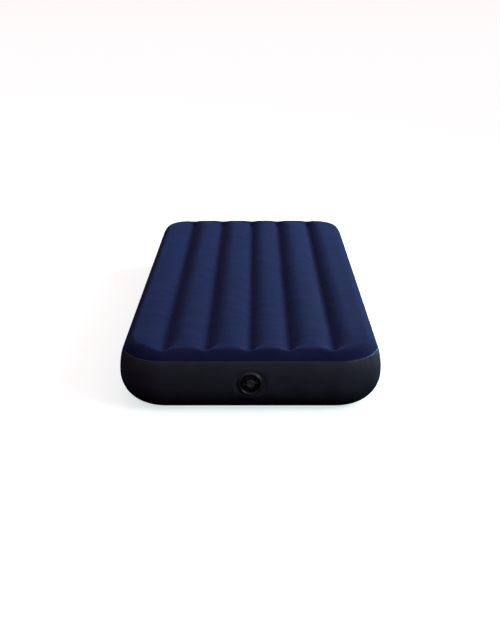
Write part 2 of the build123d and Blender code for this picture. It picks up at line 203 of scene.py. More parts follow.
def plan_lines(edge_inset, weld_end):
    """The grid lines of a sheet, close together at its edge, at its weld lines and at their ends."""
    fine = np.array([0, 2, 4, 6, 8, 10, 12.5, 15.5, 19, 23.5, 29, 36, 44]) * MM
    half_x = HALF_WIDTH - edge_inset
    half_y = HALF_LENGTH - edge_inset
    lines = []
    for near, far in zip(GROOVE_PLACES[:-1], GROOVE_PLACES[1:]):
        lines.append(spaced(near - WELD_HALF_WIDTH, near + WELD_HALF_WIDTH, 4))
        lines.append(spaced(near + WELD_HALF_WIDTH, far - WELD_HALF_WIDTH, 24, 0.6)[1:-1])
    outer = GROOVE_PLACES[-1] + WELD_HALF_WIDTH
    lines.append(spaced(GROOVE_PLACES[-1] - WELD_HALF_WIDTH, outer, 4))
    lines.append(spaced(outer, half_x - fine[-1], 20, 0.3)[1:])
    lines.append((half_x - fine)[::-1][1:])
    left_side = spaced(fine[-1] - half_x, GROOVE_PLACES[0] - WELD_HALF_WIDTH, 20, 0.3)[1:-1]
    across = np.concatenate([fine - half_x, left_side, *lines])
    edges = [fine - half_y]
    edges.append(spaced(fine[-1] - half_y, 60 * MM - weld_end, 26)[1:])
    edges.append(spaced(60 * MM - weld_end, weld_end - 60 * MM, 190)[1:])
    edges.append(spaced(weld_end - 60 * MM, half_y - fine[-1], 26)[1:])
    edges.append((half_y - fine)[::-1][1:])
    return across, np.concatenate(edges)


def rounded_plan(across, along):
    """The grid as points in plan, with its outer lines bent to the seam's round corners."""
    x, y = np.meshgrid(across, along)
    radius = across[-1] - (HALF_WIDTH - CORNER_RADIUS)
    p = np.abs(x) - (across[-1] - radius)
    q = np.abs(y) - (along[-1] - radius)
    corner = (p > 0) & (q > 0)
    largest = np.where(corner, np.maximum(p, q), 1)
    turn = np.where(corner, math.pi / 4 * np.minimum(p, q) / largest, 0)
    long_way = largest * np.cos(turn)
    short_way = largest * np.sin(turn)
    bent_p = np.where(p >= q, long_way, short_way)
    bent_q = np.where(p >= q, short_way, long_way)
    share = ramp(largest, radius - 75 * MM, radius)
    new_p = np.where(corner, p + (bent_p - p) * share, p)
    new_q = np.where(corner, q + (bent_q - q) * share, q)
    return x + np.sign(x) * (new_p - p), y + np.sign(y) * (new_q - q)


def past_weld(y, weld_end):
    """How far beyond the nearest end of a weld line a place is, and 0 beside it."""
    return np.maximum(np.abs(y) - weld_end, 0)


def pulled_in(across, along, depth, reach, weld_end):
    """How far a skin under pressure is pulled in from its envelope by the weld lines, on the grid.

    It is the least stretched skin that meets each weld at its depth and lies nowhere outside the envelope.
    """
    left, right = np.diff(across)[:-1], np.diff(across)[1:]
    down, up = np.diff(along)[:-1], np.diff(along)[1:]
    from_left = (2 / (left * (left + right)))[None, :]
    from_right = (2 / (right * (left + right)))[None, :]
    from_down = (2 / (down * (down + up)))[:, None]
    from_up = (2 / (up * (down + up)))[:, None]
    whole = from_left + from_right + from_down + from_up
    press = 2 * depth / reach**2
    x, y = np.meshgrid(across, along)
    weld = np.zeros(x.shape, bool)
    nearest = np.full(x.shape, 9.0)
    for place in GROOVE_PLACES:
        away = np.hypot(x - place, past_weld(y, weld_end)) - WELD_HALF_WIDTH
        weld |= away <= 1e-6
        nearest = np.minimum(nearest, away)
    pull = depth * np.clip(1 - nearest / reach, 0, 1) ** 2
    pull[weld] = depth
    rows, columns = np.indices(pull[1:-1, 1:-1].shape)
    free = ~weld[1:-1, 1:-1]
    for _ in range(260):
        for parity in (0, 1):
            inner = pull[1:-1, 1:-1]
            ask = from_left * pull[1:-1, :-2] + from_right * pull[1:-1, 2:]
            ask += from_down * pull[:-2, 1:-1] + from_up * pull[2:, 1:-1] - press
            better = np.maximum(inner + 1.6 * (ask / whole - inner), 0)
            turn = free & ((rows + columns) % 2 == parity)
            pull[1:-1, 1:-1] = np.where(turn, better, inner)
    return pull


def sample(grid, across, along, x, y):
    """The grid's values at places between its lines."""
    i = np.clip(np.searchsorted(across, x) - 1, 0, len(across) - 2)
    j = np.clip(np.searchsorted(along, y) - 1, 0, len(along) - 2)
    s = np.clip((x - across[i]) / (across[i + 1] - across[i]), 0, 1)
    t = np.clip((y - along[j]) / (along[j + 1] - along[j]), 0, 1)
    low = grid[j, i] * (1 - s) + grid[j, i + 1] * s
    high = grid[j + 1, i] * (1 - s) + grid[j + 1, i + 1] * s
    return low * (1 - t) + high * t


def groove_distance(x, y, weld_end):
    """How far a place is from the nearest weld line's middle, and a number for that line and side."""
    away = np.stack([np.hypot(x - place, past_weld(y, weld_end)) for place in GROOVE_PLACES])
    line = np.argmin(away, axis=0)
    side = np.sign(x - np.array(GROOVE_PLACES)[line])
    return away.min(0), line * 2 + (side > 0)


def pucker(x, y, weld_end):
    """The small cross ripples beside each weld line, where the skin is longer than the weld."""
    away, flank = groove_distance(x, y, weld_end)
    band = np.exp(-(((away - 21 * MM) / (15 * MM)) ** 2))
    total = np.zeros_like(x)
    for number in range(2 * len(GROOVE_PLACES)):
        along = y + 0.25 * (away - 0.02)
        total += np.where(flank == number, waves(along, 40 + number, 130 * MM, 38 * MM), 0)
    return total * band


def end_creases(x, y, weld_end):
    """The creases that fan out from the end of each weld line."""
    total = np.zeros_like(x)
    rng = np.random.default_rng(7)
    for place in GROOVE_PLACES:
        for dy in (-weld_end - y, y - weld_end):
            dx = x - place
            away = np.hypot(dx, dy)
            angle = np.arctan2(dx, dy)
            near = np.exp(-(((away - 34 * MM) / (22 * MM)) ** 2))
            near *= ramp(math.pi / 1.6 - np.abs(angle), 0, 0.6)
            phase = rng.uniform(-0.5, 0.5)
            total += near * np.cos(angle * 5.0 + phase + 9 * away)
    return total


def top_cover(material):
    """The flocked top sheet."""
    edge = seam_inset(TOP_SEAM_HEIGHT - BULGE_HEIGHT, TOP_SHOULDER, HEIGHT - BULGE_HEIGHT)
    across, along = plan_lines(edge, TOP_WELD_END)
    pull = pulled_in(across, along, TOP_GROOVE_DEPTH, CREST_REACH - WELD_HALF_WIDTH, TOP_WELD_END)
    x, y = rounded_plan(across, along)
    inset = inset_at(x, y)
    z = BULGE_HEIGHT + shoulder_height(inset, TOP_SHOULDER, HEIGHT - BULGE_HEIGHT)
    z -= sample(pull, across, along, x, y)
    on_crest = ramp(groove_distance(x, y, TOP_WELD_END)[0], 10 * MM, 62 * MM)
    from_end = HALF_LENGTH - np.abs(y) - edge
    z -= END_FALL * np.clip(1 - from_end / END_REACH, 0, 1) ** 2 * on_crest
    inside = ramp(inset, edge, edge + 45 * MM)
    z += 0.15 * MM * pucker(x, y, TOP_WELD_END) * inside
    z += 0.3 * MM * end_creases(x, y, TOP_WELD_END) * inside
    z -= 0.5 * MM * (1 + waves(y + 0.3 * x, 3, 0.9, 0.35)) * inside
    z -= 0.6 * MM * np.exp(-(((inset - edge - 6.5 * MM) / (2.2 * MM)) ** 2))
    points = np.stack([x, y, z], -1).reshape(-1, 3)
    points, quads = thickened(points, grid_faces(len(along), len(across)), COVER_GAUGE)
    return mesh_object("top_cover", points, quads, material)


def under_cover(material):
    """The plain bottom sheet, pressed flat where it stands."""
    edge = seam_inset(BULGE_HEIGHT - BOTTOM_SEAM_HEIGHT, BOTTOM_SHOULDER, BULGE_HEIGHT)
    across, along = plan_lines(edge, BOTTOM_WELD_END)
    pull = pulled_in(across, along, BOTTOM_GROOVE_DEPTH, 46 * MM, BOTTOM_WELD_END)
    x, y = rounded_plan(across, along)
    inset = inset_at(x, y)
    z = BULGE_HEIGHT - shoulder_height(inset, BOTTOM_SHOULDER, BULGE_HEIGHT)
    z += sample(pull, across, along, x, y)
    inside = ramp(inset, edge, edge + 45 * MM)
    z += 0.4 * MM * np.abs(pucker(x, y, BOTTOM_WELD_END)) * inside
    z += 0.5 * MM * np.exp(-(((inset - edge - 6.5 * MM) / (2.2 * MM)) ** 2))
    points = np.stack([x, y, z], -1).reshape(-1, 3)
    quads = grid_faces(len(along), len(across))[:, ::-1]
    points, quads = thickened(points, quads, FILM_GAUGE)
    return mesh_object("under_cover", points, quads, material)


# The valve's place: its axis and middle come from the nozzle bore's mount


def valve_place():
    """The matrix from the valve's own frame, in metres, to the row frame."""
    mount = next(m for m in frame["record"]["mounts"] if m["name"] == "nozzle_bore")
    out = Vector(mount["axis"]).normalized()
    side = Vector((1, 0, 0))
    up = out.cross(side)
    middle = Vector(mount["pos_m"]) + out * 13.5 * MM
    place = Matrix((side, up, out)).transposed().to_4x4()
    place.translation = middle
    return place


VALVE = valve_place()
VALVE_ROTATION = np.array(VALVE.to_3x3())
VALVE_ORIGIN = np.array(VALVE.translation)


def in_row(points):
    """Points of the valve's frame, given in millimetres, in the row frame."""
    return np.asarray(points, float) * MM @ VALVE_ROTATION.T + VALVE_ORIGIN


def in_valve(points):
    """Points of the row frame in the valve's frame, in metres."""
    return (points - VALVE_ORIGIN) @ VALVE_ROTATION


# The side wall


def wall_profile():
    """The wall's section from the bottom seam to the top seam: insets, heights, and lengths along it.

    Lengths are counted from the place where the valve's axis leaves the wall.
    """
    low = -math.asin((BULGE_HEIGHT - BOTTOM_SEAM_HEIGHT) / BULGE_HEIGHT)
    high = math.asin((TOP_SEAM_HEIGHT - BULGE_HEIGHT) / (HEIGHT - BULGE_HEIGHT))
    angle = np.linspace(low, high, 2001)
    reach = np.where(angle < 0, BOTTOM_SHOULDER, TOP_SHOULDER)
    rise = np.where(angle < 0, BULGE_HEIGHT, HEIGHT - BULGE_HEIGHT)
    inset = reach * (1 - np.cos(angle))
    height = BULGE_HEIGHT + rise * np.sin(angle)
    length = np.concatenate([[0], np.cumsum(np.hypot(np.diff(inset), np.diff(height)))])
    skin = VALVE @ Vector((0, 0, DISH_DEPTH))
    length -= np.interp(skin.z, height, length)
    return inset, height, length


def outline():
    """Middles of the plan's corner arcs or edges, and the outward directions from them, once round."""
    half_x = HALF_WIDTH - CORNER_RADIUS
    half_y = HALF_LENGTH - CORNER_RADIUS
    near = np.arange(0, 71, 5) * MM
    foot = np.concatenate([near, spaced(0.07, half_x, 25)[1:]])
    centres, directions = [], []

    def straight(start, end, count, direction):
        for t in spaced(0, 1, count)[:-1]:
            centres.append(np.array(start) * (1 - t) + np.array(end) * t)
            directions.append(direction)

    def corner(centre, first):
        for a in np.linspace(first, first + 90, 37)[:-1]:
            centres.append(np.array(centre))
            directions.append((math.cos(math.radians(a)), math.sin(math.radians(a))))

    for x in foot[:-1]:
        centres.append(np.array((x, -half_y)))
        directions.append((0, -1))
    corner((half_x, -half_y), -90)
    straight((half_x, -half_y), (half_x, half_y), 150, (1, 0))
    corner((half_x, half_y), 0)
    straight((half_x, half_y), (-half_x, half_y), 62, (0, 1))
    corner((-half_x, half_y), 90)
    straight((-half_x, half_y), (-half_x, -half_y), 150, (-1, 0))
    corner((-half_x, -half_y), 180)
    for x in foot[:0:-1]:
        centres.append(np.array((-x, -half_y)))
        directions.append((0, -1))
    return np.array(centres), np.array(directions, float)


def dished(points):
    """The foot-end wall drawn in flat round the valve's flange."""
    local = in_valve(points)
    away = np.hypot(local[:, 0], local[:, 1])
    near = (away < 0.1) & (np.abs(local[:, 2]) < 0.05)
    share = ramp(away, 49.5 * MM, 66 * MM)
    local[:, 2] = np.where(near, local[:, 2] * share - 0.15 * MM * (1 - share), local[:, 2])
    return np.where(near[:, None], local @ VALVE_ROTATION.T + VALVE_ORIGIN, points)


def wall_point(x, length, profile):
    """A place on the foot-end wall."""
    inset, height, lengths = profile
    y = -HALF_LENGTH + np.interp(length, lengths, inset)
    return np.stack([x, y, np.interp(length, lengths, height)], -1)


def side_wall(material):
    """The black band round the edge, with a round hole for the valve."""
    profile = wall_profile()
    inset, height, lengths = profile
    low_edge = lengths[0] + np.array([0, 1.5, 4, 8, 13, 19]) * MM
    below = spaced(low_edge[-1], -70 * MM, 8)[1:]
    beside = np.arange(-65, 70.1, 5) * MM
    rest = spaced(70 * MM, lengths[-1], 8)[1:]
    rows = np.concatenate([low_edge, below, beside, rest])
    row_inset = np.interp(rows, lengths, inset)
    row_height = np.interp(rows, lengths, height)
    centres, directions = outline()
    columns = len(centres)
    strides = np.linalg.norm(np.diff(centres + directions * 0.15, axis=0), axis=1)
    round_way = np.concatenate([[0], np.cumsum(strides)])
    spread = CORNER_RADIUS - row_inset[:, None]
    x = centres[None, :, 0] + directions[None, :, 0] * spread
    y = centres[None, :, 1] + directions[None, :, 1] * spread
    z = np.repeat(row_height[:, None], columns, 1)
    # Puckers along both seams, where the flat band is drawn round the corners
    corner_share = 1 - np.maximum(np.abs(directions[:, 0]), np.abs(directions[:, 1]))
    corner_share = np.clip(corner_share / 0.25, 0, 1)[None, :]
    from_top = lengths[-1] - rows
    from_bottom = rows - lengths[0]
    top_band = (ramp(from_top, 0, 14 * MM) * (1 - ramp(from_top, 20 * MM, 80 * MM)))[:, None]
    bottom_band = (ramp(from_bottom, 0, 14 * MM) * (1 - ramp(from_bottom, 20 * MM, 75 * MM)))[:, None]
    push = top_band * waves(round_way, 21, 60 * MM, 22 * MM)[None, :] * 0.9 * MM
    push = push + bottom_band * waves(round_way, 22, 60 * MM, 22 * MM)[None, :] * 1.1 * MM
    push = push * (0.12 + 0.88 * corner_share)
    tucked = np.maximum(1 - from_top / (1.5 * MM), 0) + np.maximum(1 - from_bottom / (1.5 * MM), 0)
    push = push - COVER_GAUGE * 0.8 * tucked[:, None]
    x = x + directions[None, :, 0] * push
    y = y + directions[None, :, 1] * push
    points = np.stack([x, y, z], -1).reshape(-1, 3)
    quads = grid_faces(len(rows), columns, wrap=True)
    # The square patch round the valve is left out and filled with rings that run from a circle to the square
    first_row = int(np.argmin(np.abs(rows + 70 * MM)))
    last_row = int(np.argmin(np.abs(rows - 70 * MM)))
    patch_columns = [(c % columns) for c in range(-14, 15)]
    row_of = quads[:, 0] // columns
    column_of = quads[:, 0] % columns
    inside = (row_of >= first_row) & (row_of < last_row) & ((column_of < 14) | (column_of >= columns - 14))
    quads = quads[~inside]
    loop = [(first_row, c) for c in patch_columns[:-1]]
    loop += [(r, patch_columns[-1]) for r in range(first_row, last_row)]
    loop += [(last_row, c) for c in patch_columns[:0:-1]]
    loop += [(r, patch_columns[0]) for r in range(last_row, first_row, -1)]
    outer = np.array([r * columns + c for r, c in loop])
    outer_x = points[outer, 0]
    outer_length = rows[[r for r, _ in loop]]
    angle = np.arctan2(outer_length, outer_x)
    steps = np.array([0, 0.12, 0.2, 0.27, 0.34, 0.42, 0.5, 0.59, 0.69, 0.79, 0.9])
    rings = []
    for t in steps:
        ring_x = 41 * MM * np.cos(angle) * (1 - t) + outer_x * t
        ring_length = 41 * MM * np.sin(angle) * (1 - t) + outer_length * t
        rings.append(wall_point(ring_x, ring_length, profile))
    ring_points = np.concatenate(rings)
    count = len(outer)
    base = len(points)
    ring_quads = grid_faces(len(steps), count, wrap=True) + base
    last = base + (len(steps) - 1) * count
    here = np.arange(count)
    there = (here + 1) % count
    bridge = np.stack([last + here, last + there, outer[there], outer[here]], -1)
    points = dished(np.concatenate([points, ring_points]))
    # Seen from outside, the rings run the other way round from the band
    fills = np.vstack([ring_quads, bridge])
    points, quads = thickened(points, np.vstack([quads, fills[:, ::-1]]), FILM_GAUGE)
    return mesh_object("wall_band", points, quads, material)


# Small sections for the valve. Points are in millimetres in the valve's frame.


def softened(points, reach, closed=True, steps=4):
    """A polyline with each corner swapped for a small curve that starts a reach away from it."""
    points = np.asarray(points, float)
    count = len(points)
    out = []
    for i in range(count):
        if not closed and i in (0, count - 1):
            out.append(points[i])
            continue
        here, before, after = points[i], points[i - 1], points[(i + 1) % count]
        back, on = before - here, after - here
        back_cut = min(reach, np.linalg.norm(back) * 0.45)
        on_cut = min(reach, np.linalg.norm(on) * 0.45)
        start = here + back / np.linalg.norm(back) * back_cut
        end = here + on / np.linalg.norm(on) * on_cut
        for t in np.linspace(0, 1, steps + 1):
            out.append(start * (1 - t) ** 2 + here * 2 * t * (1 - t) + end * t * t)
    return np.array(out)


def turned(section, segments=96, centre=(0, 0)):
    """Points and faces of a closed (radius, w) section turned about w. Radii of 0 meet in a pole."""
    section = np.asarray(section, float)
    angles = np.linspace(0, 2 * math.pi, segments, endpoint=False)
    x = section[:, 0][None, :] * np.cos(angles)[:, None] + centre[0]
    y = section[:, 0][None, :] * np.sin(angles)[:, None] + centre[1]
    w = np.repeat(section[:, 1][None, :], segments, 0)
    points = np.stack([x, y, w], -1).reshape(-1, 3)
    count = len(section)
    here, step = np.meshgrid(np.arange(segments), np.arange(count), indexing="ij")
    after = (here + 1) % segments
    following = (step + 1) % count
    quads = np.stack(
        [here * count + step, after * count + step, after * count + following, here * count + following], -1
    )
    return points, quads.reshape(-1, 4)


def turned_disc(section, segments=96, centre=(0, 0)):
    """Points and faces of a (radius, w) section that starts and ends on the axis, turned about w."""
    section = np.asarray(section, float)
    ring = section[1:-1]
    points, quads = turned(ring, segments, centre)
    count = len(ring)
    quads = quads.reshape(segments, count, 4)[:, :-1].reshape(-1, 4)
    top = len(points)
    poles = [[centre[0], centre[1], section[0][1]], [centre[0], centre[1], section[-1][1]]]
    here = np.arange(segments)
    after = (here + 1) % segments
    caps = [[top, a * count, b * count] for a, b in zip(here, after)]
    caps += [[top + 1, b * count + count - 1, a * count + count - 1] for a, b in zip(here, after)]
    # The section runs outwards first, so its quads face inwards until they are turned over
    return np.vstack([points, poles]), [list(q[::-1]) for q in quads] + [f[::-1] for f in caps]


def plate(outline_points, low, high, bevel):
    """A flat piece with softened edges, from its outline, given anticlockwise."""
    outline_points = np.asarray(outline_points, float)
    edge = np.roll(outline_points, -1, axis=0) - np.roll(outline_points, 1, axis=0)
    normal = np.stack([edge[:, 1], -edge[:, 0]], -1) / np.linalg.norm(edge, axis=1)[:, None]
    slope = np.linspace(0, math.pi / 2, 4)
    levels = [(bevel * (1 - math.sin(a)), low + bevel * (1 - math.cos(a))) for a in slope]
    levels += [(bevel * (1 - math.sin(a)), high - bevel * (1 - math.cos(a))) for a in slope[::-1]]
    count = len(outline_points)
    points = [np.column_stack([outline_points - normal * inward, np.full(count, w)]) for inward, w in levels]
    quads = grid_faces(len(levels), count, wrap=True)
    last = (len(levels) - 1) * count
    faces = [list(q) for q in quads]
    faces.append(list(range(count))[::-1])
    faces.append([last + i for i in range(count)])
    return np.concatenate(points), faces


def swept(path, half_width, half_height, width_way=None):
    """A soft-edged band along a path. width_way is the direction of its width at each point."""
    path = np.asarray(path, float)
    forward = np.gradient(path, axis=0)
    forward /= np.linalg.norm(forward, axis=1)[:, None]
    width_way = np.asarray(width_way, float)
    width_way = width_way - forward * (width_way * forward).sum(1)[:, None]
    width_way /= np.linalg.norm(width_way, axis=1)[:, None]
    height_way = np.cross(forward, width_way)
    angle = np.linspace(0, 2 * math.pi, 20, endpoint=False)
    # A superellipse, so the band is flat with round edges
    across = np.sign(np.cos(angle)) * np.abs(np.cos(angle)) ** 0.5 * half_width
    upward = np.sign(np.sin(angle)) * np.abs(np.sin(angle)) ** 0.5 * half_height
    sideways = width_way[:, None, :] * across[None, :, None]
    upwards = height_way[:, None, :] * upward[None, :, None]
    points = path[:, None, :] + sideways + upwards
    quads = [list(q) for q in grid_faces(len(path), len(angle), wrap=True)]
    last = (len(path) - 1) * len(angle)
    ends = [list(range(len(angle)))[::-1], [last + i for i in range(len(angle))]]
    return points.reshape(-1, 3), quads + ends


def joined(*pieces):
    """Several points-and-faces pairs as one."""
    points, faces, count = [], [], 0
    for some_points, some_faces in pieces:
        points.append(np.asarray(some_points, float))
        faces += [[int(i) + count for i in f] for f in some_faces]
        count += len(some_points)
    return np.concatenate(points), faces


def polar(radius, degrees, w=0.0):
    """A point of the valve's frame at a radius and an angle from u."""
    return (radius * math.cos(math.radians(degrees)), radius * math.sin(math.radians(degrees)), w)


def turned_by(points, degrees):
    """Points turned about the valve's axis."""
    turn = np.array(Matrix.Rotation(math.radians(degrees), 3, "Z"))
    return np.asarray(points, float) @ turn.T


def valve_piece(name, piece, material, body, stands_for=()):
    """Places one piece of the valve, shades its edges and lets it ride on its body."""
    points, faces = piece
    made = mesh_object(name, in_row(points), faces, material)
    made.data.set_sharp_from_angle(angle=math.radians(38))
    if body:
        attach(made, body)
    if stands_for:
        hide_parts(*stands_for)
    return made


# Sizes of the valve, in millimetres
CAP_ANGLE = 14.0
BODY_RADIUS = 36.0
BODY_BORE_RADIUS = 33.6
BODY_TOP = 3.0
BODY_BOTTOM = -26.0
SEAT_BORE_RADIUS = 28.0
SEAT_TOP = -22.0
STOPPER_RADIUS = 33.0
STOPPER_FACE = -2.5
STOPPER_BOTTOM = -21.8
SKIRT_RADIUS = 30.8
PLATE_BOTTOM = -5.0
BOSS_RADIUS = 12.6
BOSS_BOTTOM = -19.0
MOUTH_RADIUS = 10.6
MOUTH_BOTTOM = -8.0
NOZZLE_BORE_RADIUS = 10.0
STRAP_RADIUS = 23.5
STRAP_END_ANGLE = 62.0
LEASH_RADIUS = 30.3
LEASH_START_ANGLE = 57.0
LEASH_END_ANGLE = 160.0
ANCHOR_ANGLE = LEASH_START_ANGLE + 3
ANCHOR_RADIUS = 39.0


def flange_section():
    """The soft ring: a thin skirt welded on the wall, two fine rings, and a round lip down into the neck."""
    return softened(
        [
            (36.1, -18.0),
            (38.2, -18.0),
            (38.2, -0.4),
            (46.7, -0.4),
            (46.8, 0.5),
            (45.6, 1.5),
            (44.9, 1.9),
            (44.5, 1.5),
            (44.1, 1.5),
            (43.6, 2.1),
            (42.2, 2.2),
            (41.8, 3.8),
            (40.4, 5.2),
            (37.8, 5.2),
            (36.6, 4.5),
            (36.1, 3.4),
        ],
        0.7,
    )


def body_section():
    """The stiff cup, with a soft chamfer at its mouth and a ledge at its foot."""
    return softened(
        [
            (BODY_RADIUS, BODY_TOP),
            (BODY_RADIUS, BODY_BOTTOM),
            (SEAT_BORE_RADIUS, BODY_BOTTOM),
            (SEAT_BORE_RADIUS, SEAT_TOP),
            (BODY_BORE_RADIUS, SEAT_TOP),
            (BODY_BORE_RADIUS, BODY_TOP - 1.1),
            (BODY_BORE_RADIUS + 1.0, BODY_TOP),
        ],
        0.5,
    )


def stopper_section():
    """The large stopper: a rim, a raised plate, the nozzle's mouth and bore, and the skirt."""
    return softened(
        [
            (MOUTH_RADIUS, -3.1),
            (11.3, -2.4),
            (16.6, -2.4),
            (17.2, -2.9),
            (17.9, -2.9),
            (18.4, STOPPER_FACE),
            (STOPPER_RADIUS - 0.8, STOPPER_FACE),
            (STOPPER_RADIUS, STOPPER_FACE - 0.8),
            (STOPPER_RADIUS, STOPPER_BOTTOM + 1.0),
            (STOPPER_RADIUS - 1.0, STOPPER_BOTTOM),
            (SKIRT_RADIUS, STOPPER_BOTTOM),
            (SKIRT_RADIUS, PLATE_BOTTOM),
            (BOSS_RADIUS, PLATE_BOTTOM),
            (BOSS_RADIUS, BOSS_BOTTOM),
            (NOZZLE_BORE_RADIUS, BOSS_BOTTOM),
            (NOZZLE_BORE_RADIUS, MOUTH_BOTTOM),
            (MOUTH_RADIUS, MOUTH_BOTTOM),
        ],
        0.35,
    )


def cap_piece():
    """The inflation cap: a dished button over its plug, a flared and ribbed pull tab, and a hinge lug."""
    button = softened(
        [
            (0, 0.1),
            (1.2, 0.1),
            (1.9, -0.4),
            (6.2, -0.4),
            (6.9, 0.35),
            (8.6, 0.55),
            (9.1, 0.2),
            (9.7, 0.2),
            (10.3, 0.75),
            (13.4, 0.9),
            (14.9, 0.1),
            (15.0, -1.9),
            (14.6, -2.2),
            (10.45, -2.2),
            (10.45, -4.0),
            (9.3, -7.5),
            (0, -7.5),
        ],
        0.35,
        closed=False,
        steps=3,
    )
    tab_outline = softened(
        [
            (12.0, -3.6),
            (21.0, -3.4),
            (24.5, -6.6),
            (27.3, -7.3),
            (28.6, -5.0),
            (28.6, 5.0),
            (27.3, 7.3),
            (24.5, 6.6),
            (21.0, 3.4),
            (12.0, 3.6),
        ],
        2.0,
        steps=5,
    )
    tab = plate(tab_outline, -2.2, -0.7, 0.45)
    ribs = []
    for x in (23.6, 25.2, 26.8):
        path = [(x, y, -0.65) for y in np.linspace(-4.2, 4.2, 9)]
        ribs.append(swept(path, 0.32, 0.35, [(1, 0, 0)] * 9))
    lug_outline = softened([(-12.5, 3.0), (-20.1, 3.0), (-20.1, -3.0), (-12.5, -3.0)], 0.4)
    lug = plate(lug_outline, -2.2, -1.2, 0.3)
    points, faces = joined(turned_disc(button, 96), tab, lug, *ribs)
    return turned_by(points, CAP_ANGLE), faces


def strap_piece():
    """The cap's strap: an eye round its stud and a band over the top."""
    hinge_angle = 180 + CAP_ANGLE
    low, high = STOPPER_FACE + 0.02, STOPPER_FACE + 1.0
    inner, outer = STRAP_RADIUS - 1.7, STRAP_RADIUS + 1.7
    outer_arc = [polar(outer, a)[:2] for a in np.linspace(STRAP_END_ANGLE + 3, hinge_angle - 4, 40)]
    pad_out = [polar(25.8, a)[:2] for a in np.linspace(hinge_angle - 9, hinge_angle + 9, 7)]
    pad_in = [polar(21.6, a)[:2] for a in np.linspace(hinge_angle + 9.5, hinge_angle - 7, 7)]
    inner_arc = [polar(inner, a)[:2] for a in np.linspace(hinge_angle - 10, STRAP_END_ANGLE + 3, 38)]
    band = plate(softened(outer_arc[:-3] + pad_out + pad_in + inner_arc, 0.5, steps=2), low, high, 0.3)
    eye_middle = polar(STRAP_RADIUS, STRAP_END_ANGLE)
    eye_section = softened([(1.75, low), (3.3, low), (3.3, high + 0.1), (1.75, high + 0.1)], 0.3)
    eye = turned(eye_section, 40, eye_middle[:2])
    return joined(band, eye)


def web_piece():
    """The thin web from the cap's lug to the strap, made as one straight piece."""
    path = [(x, 0, -1.75) for x in np.linspace(-20.4, -22.6, 13)]
    points, faces = swept(path, 2.8, 0.22, [(0, 1, 0)] * 13)
    return turned_by(points, CAP_ANGLE), faces


def leash_path():
    """The leash's middle line: round the well, then up and over the flange's lip to its anchor."""
    points, ways = [], []
    for a in np.linspace(LEASH_END_ANGLE, ANCHOR_ANGLE + 6, 44):
        points.append(polar(LEASH_RADIUS, a, STOPPER_FACE + 0.55))
        ways.append(polar(1, a))
    corner = softened(
        [(31.0, STOPPER_FACE + 0.55), (32.7, STOPPER_FACE + 1.4), (33.2, 5.0), (34.4, 5.95), (37.0, 5.95)],
        1.2,
        closed=False,
    )
    turn = math.radians(ANCHOR_ANGLE)
    return points, ways, corner, turn


def leash_piece():
    """The stopper's leash."""
    points, ways, corner, turn = leash_path()
    band = swept(points, 1.45, 0.5, ways)
    hook_points = [(r * math.cos(turn), r * math.sin(turn), w) for r, w in corner]
    side = (-math.sin(turn), math.cos(turn), 0)
    hook = swept(hook_points, 2.3, 0.45, [side] * len(hook_points))
    root = turned_disc(
        softened([(0, -1.45), (4.0, -1.45), (4.3, -1.9), (4.3, -2.4), (0, -2.4)], 0.3, closed=False),
        40,
        polar(30.0, ANCHOR_ANGLE + 4)[:2],
    )
    foot = turned_disc(
        softened([(0, -0.7), (1.9, -0.7), (2.2, -1.1), (2.2, -2.4), (0, -2.4)], 0.3, closed=False),
        32,
        polar(LEASH_RADIUS, LEASH_END_ANGLE)[:2],
    )
    eye_section = softened([(1.7, 5.5), (3.1, 5.5), (3.1, 6.4), (1.7, 6.4)], 0.3)
    eye = turned(eye_section, 32, polar(ANCHOR_RADIUS, ANCHOR_ANGLE)[:2])
    return joined(band, hook, root, foot, eye)


def stud_piece(radius, degrees, foot, top, post, head):
    """A small mushroom-headed stud."""
    middle = polar(radius, degrees)
    section = softened(
        [
            (0, top),
            (head * 0.7, top),
            (head, top - 0.5),
            (head, top - 0.9),
            (post, top - 0.95),
            (post, foot),
            (0, foot),
        ],
        0.25,
        closed=False,
    )
    return turned_disc(section, 32, middle[:2])


# Materials


def shader(name, base, roughness, specular=0.5):
    """A material's name, its tree and its shader, with the plain values set on the shader's own sockets."""
    material = bpy.data.materials.new(name)
    material.use_nodes = True
    surface = material.node_tree.nodes["Principled BSDF"]
    surface.inputs["Base Color"].default_value = (*base, 1)
    surface.inputs["Roughness"].default_value = roughness
    surface.inputs["Specular IOR Level"].default_value = specular
    return material, material.node_tree, surface


def add(tree, kind, **values):
    """A node with its named inputs set."""
    node = tree.nodes.new(kind)
    for key, value in values.items():
        node.inputs[key.replace("_", " ")].default_value = value
    return node


def noise(tree, scale, detail=3.0, roughness=0.5, stretch=(1, 1, 1)):
    """A noise over the row frame, stretched by a scale along each axis."""
    place = tree.nodes.new("ShaderNodeTexCoord")
    mapping = add(tree, "ShaderNodeMapping", Scale=stretch)
    texture = add(tree, "ShaderNodeTexNoise", Scale=scale, Detail=detail, Roughness=roughness)
    tree.links.new(place.outputs["Object"], mapping.inputs["Vector"])
    tree.links.new(mapping.outputs["Vector"], texture.inputs["Vector"])
    return texture.outputs["Fac"]


def remapped(tree, value, low, high, to_low, to_high):
    """A value moved from one range to another."""
    node = tree.nodes.new("ShaderNodeMapRange")
    tree.links.new(value, node.inputs["Value"])
    limits = {"From Min": low, "From Max": high, "To Min": to_low, "To Max": to_high}
    for key, limit in limits.items():
        node.inputs[key].default_value = limit
    return node.outputs["Result"]


def mixed(tree, share, first, second):
    """A colour between two, by a share."""
    node = tree.nodes.new("ShaderNodeMix")
    node.data_type = "RGBA"
    tree.links.new(share, node.inputs["Factor"])
    node.inputs["A"].default_value = (*first, 1)
    node.inputs["B"].default_value = (*second, 1)
    return node.outputs["Result"]


